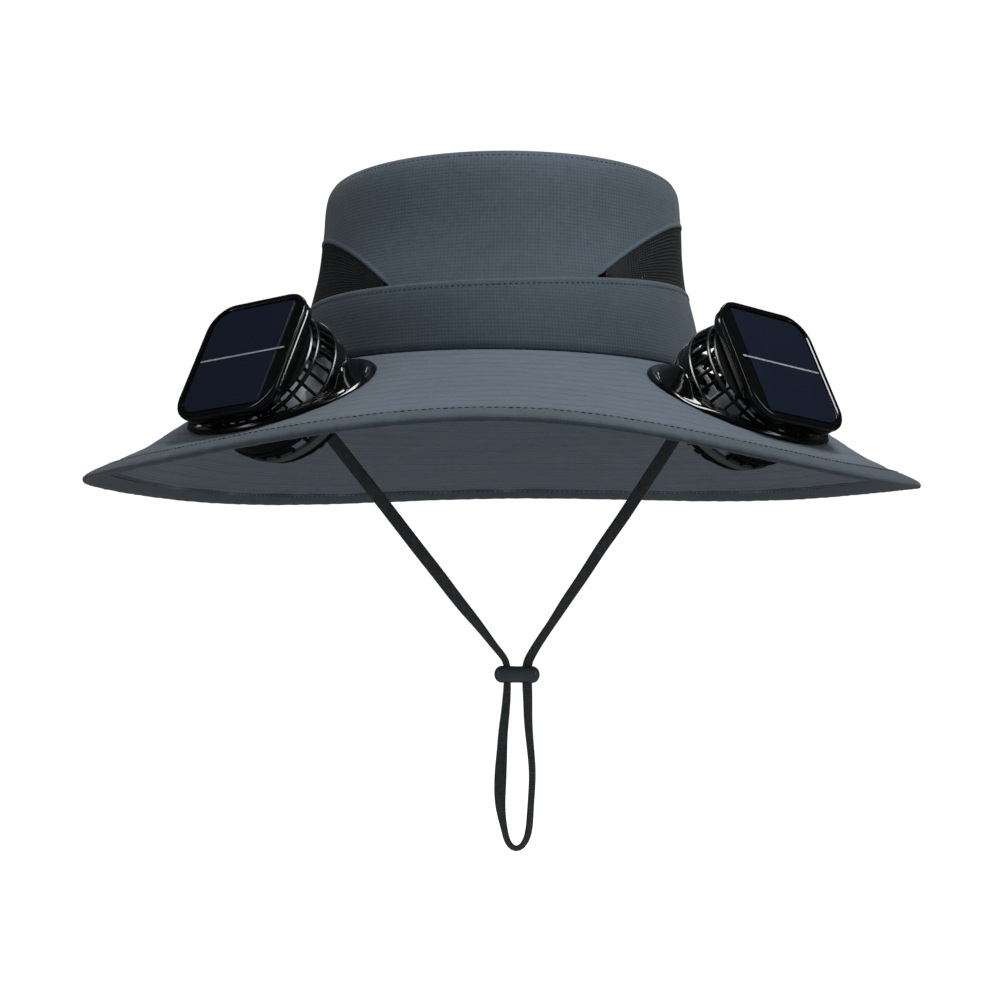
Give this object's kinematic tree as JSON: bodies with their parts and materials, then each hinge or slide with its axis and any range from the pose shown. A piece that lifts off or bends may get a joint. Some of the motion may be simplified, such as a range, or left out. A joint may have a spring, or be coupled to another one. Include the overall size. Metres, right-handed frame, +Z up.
{
  "type": "solar fan sun hat",
  "caption": "Wide-brimmed cloth sun hat with mesh side vents, a pair of tilting ball fans under solar panels on its brim, and a chin lace with a cord lock.",
  "frame": {"origin": "centre of the head opening, in the seam plane between crown and brim", "axes": "+Z up through the crown, -Y towards the front of the hat where the fans look, +X to the right in the picture, which is the wearer's left"},
  "size_m": [0.3892, 0.3861, 0.3162],
  "materials": {
    "crown_cloth": "plain woven cotton, matt blue-grey",
    "brim_cloth": "two layers of woven cotton with rows of stitching, matt blue-grey",
    "binding_cloth": "folded woven tape, matt blue-grey",
    "vent_mesh": "fine open net, matt black",
    "gloss_plastic": "moulded black plastic, glossy",
    "solar_cell": "dark navy solar cell under a clear flat cover",
    "woven_lace": "flat woven black lace",
    "lock_plastic": "moulded dark grey plastic, satin"
  },
  "bodies": {
    "hat": {"crown_side": "crown_cloth", "crown_tip": "crown_cloth", "crown_band": "crown_cloth", "mesh_vent_left": "vent_mesh", "mesh_vent_right": "vent_mesh", "brim": "brim_cloth", "brim_binding": "binding_cloth", "fan_base_left": "gloss_plastic", "fan_base_right": "gloss_plastic", "chin_cord": "woven_lace", "cord_lock": "lock_plastic"},
    "fan_left": {"fan_cage_left": "gloss_plastic", "solar_housing_left": "gloss_plastic", "solar_cell_left": "solar_cell"},
    "fan_right": {"fan_cage_right": "gloss_plastic", "solar_housing_right": "gloss_plastic", "solar_cell_right": "solar_cell"},
    "rotor_left": {"impeller_left": "gloss_plastic"},
    "rotor_right": {"impeller_right": "gloss_plastic"}
  },
  "joints": [
    {"name": "fan_tilt_left", "type": "hinge", "parent": "hat", "child": "fan_left", "pos_m": [-0.0998, -0.0957, -0.0165], "axis": [-0.7887, 0.6118, -0.061], "range_deg": [0, 45]},
    {"name": "fan_tilt_right", "type": "hinge", "parent": "hat", "child": "fan_right", "pos_m": [0.0998, -0.0957, -0.0165], "axis": [-0.7887, -0.6118, 0.061], "range_deg": [0, 45]},
    {"name": "fan_spin_left", "type": "hinge", "parent": "fan_left", "child": "rotor_left", "pos_m": [-0.0998, -0.0957, -0.0165], "axis": [-0.5586, -0.6715, 0.487], "continuous": true},
    {"name": "fan_spin_right", "type": "hinge", "parent": "fan_right", "child": "rotor_right", "pos_m": [0.0998, -0.0957, -0.0165], "axis": [0.5586, -0.6715, 0.487], "continuous": true}
  ]
}
